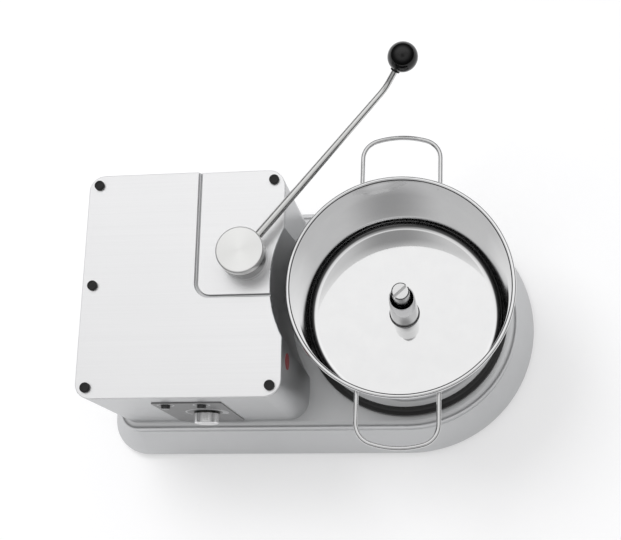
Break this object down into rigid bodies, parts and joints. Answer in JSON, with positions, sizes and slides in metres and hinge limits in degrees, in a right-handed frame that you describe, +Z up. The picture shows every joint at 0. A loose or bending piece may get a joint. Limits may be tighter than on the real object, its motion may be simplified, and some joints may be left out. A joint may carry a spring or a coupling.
{
  "type": "meat bowl cutter",
  "caption": "Table-top bowl cutter with a lift-off mirror steel bowl, central knife drive shaft, swinging ball lever and speed panel.",
  "frame": {"origin": "middle of the machine's outline at the bench, under the feet", "axes": "+X along the machine from the control box towards the bowl, +Y to the back, +Z up"},
  "size_m": [0.622, 0.5064, 0.3485],
  "materials": {
    "cast_base": "satin",
    "body_metal": "brushed",
    "cover_steel": "brushed",
    "bowl_steel": "mirror polished",
    "lever_steel": "turned",
    "machine_steel": "machined",
    "fastener_steel": "zinc plated",
    "bronze": "machined",
    "ball_black": "gloss",
    "cap_black": "semi gloss",
    "rubber_black": "matt",
    "panel_grey": "satin",
    "knob_silver": "turned",
    "button_dark": "gloss",
    "switch_plastic": "satin",
    "pot_metal": "satin",
    "board_green": "satin",
    "drive_aluminium": "satin",
    "stator_iron": "laminated",
    "pan_steel": "satin",
    "marker_red": "gloss"
  },
  "bodies": {
    "base": {"base_casting": "cast_base", "body_casting": "body_metal", "main_cover": "cover_steel", "lever_cover": "cover_steel", "lever_collar": "lever_steel", "motor_bearings": "machine_steel", "shaft_bearings": "machine_steel", "bearing_housing": "machine_steel", "motor_flange": "machine_steel", "switch_bracket": "machine_steel", "bowl_pegs": "machine_steel", "pan_screws": "fastener_steel", "foot_screws": "fastener_steel", "body_bolts": "fastener_steel", "cover_screws": "fastener_steel", "flange_bolts": "fastener_steel", "collar_screws": "fastener_steel", "gland_nut": "fastener_steel", "spindle_bush": "bronze", "screw_caps": "cap_black", "rubber_feet": "rubber_black", "cover_gasket": "rubber_black", "bowl_seat_ring": "rubber_black", "shaft_seal": "rubber_black", "drive_belt": "rubber_black", "control_panel": "panel_grey", "switch_blocks": "switch_plastic", "lid_switch": "switch_plastic", "cable_gland": "switch_plastic", "potentiometer": "pot_metal", "control_board": "board_green", "speed_drive": "drive_aluminium", "motor_housing": "drive_aluminium", "motor_stator": "stator_iron", "bottom_pan": "pan_steel", "red_marker": "marker_red"},
    "bowl": {"bowl_shell": "bowl_steel", "bowl_tube": "bowl_steel", "bowl_handles": "bowl_steel", "bowl_peg_sockets": "bowl_steel"},
    "lever": {"lever_hub": "lever_steel", "hub_cap": "lever_steel", "lever_rod": "lever_steel", "lever_ball": "ball_black", "lever_spindle": "machine_steel", "spindle_nut": "fastener_steel", "switch_cam": "machine_steel", "rod_grub_screw": "fastener_steel"},
    "motor": {"motor_rotor": "machine_steel", "motor_shaft": "machine_steel", "motor_fan": "switch_plastic", "motor_pulley": "machine_steel"},
    "shaft": {"drive_shaft": "machine_steel", "driven_pulley": "machine_steel", "shaft_key": "machine_steel", "pulley_nut": "fastener_steel"},
    "knob": {"speed_knob": "knob_silver", "knob_shaft": "pot_metal"},
    "start": {"start_button": "button_dark"},
    "stop": {"stop_button": "button_dark"}
  },
  "joints": [
    {"name": "lever_swing", "type": "hinge", "parent": "base", "child": "lever", "pos_m": [-0.0665, -0.01374, 0.3], "axis": [0, 0, 1], "range_deg": [-58, 25]},
    {"name": "bowl_lift", "type": "slide", "parent": "base", "child": "bowl", "axis": [0, 0, 1], "range_m": [0, 0.03]},
    {"name": "motor_spin", "type": "hinge", "parent": "base", "child": "motor", "pos_m": [-0.173, -0.04524, 0.15], "axis": [0, 0, 1], "continuous": true},
    {"name": "shaft_spin", "type": "hinge", "parent": "base", "child": "shaft", "pos_m": [0.127, -0.04524, 0.15], "axis": [0, 0, 1], "continuous": true},
    {"name": "knob_turn", "type": "hinge", "parent": "base", "child": "knob", "pos_m": [-0.1335, -0.19324, 0.177], "axis": [0, 1, 0], "range_deg": [0, 270]},
    {"name": "start_press", "type": "slide", "parent": "base", "child": "start", "axis": [0, 1, 0], "range_m": [0, 0.0025], "stiffness_N_per_m": 800, "springref_m": -0.001},
    {"name": "stop_press", "type": "slide", "parent": "base", "child": "stop", "axis": [0, 1, 0], "range_m": [0, 0.0025], "stiffness_N_per_m": 800, "springref_m": -0.001}
  ],
  "couplings": [
    {"joint": "shaft_spin", "follows": "motor_spin", "ratio": 0.66667}
  ]
}
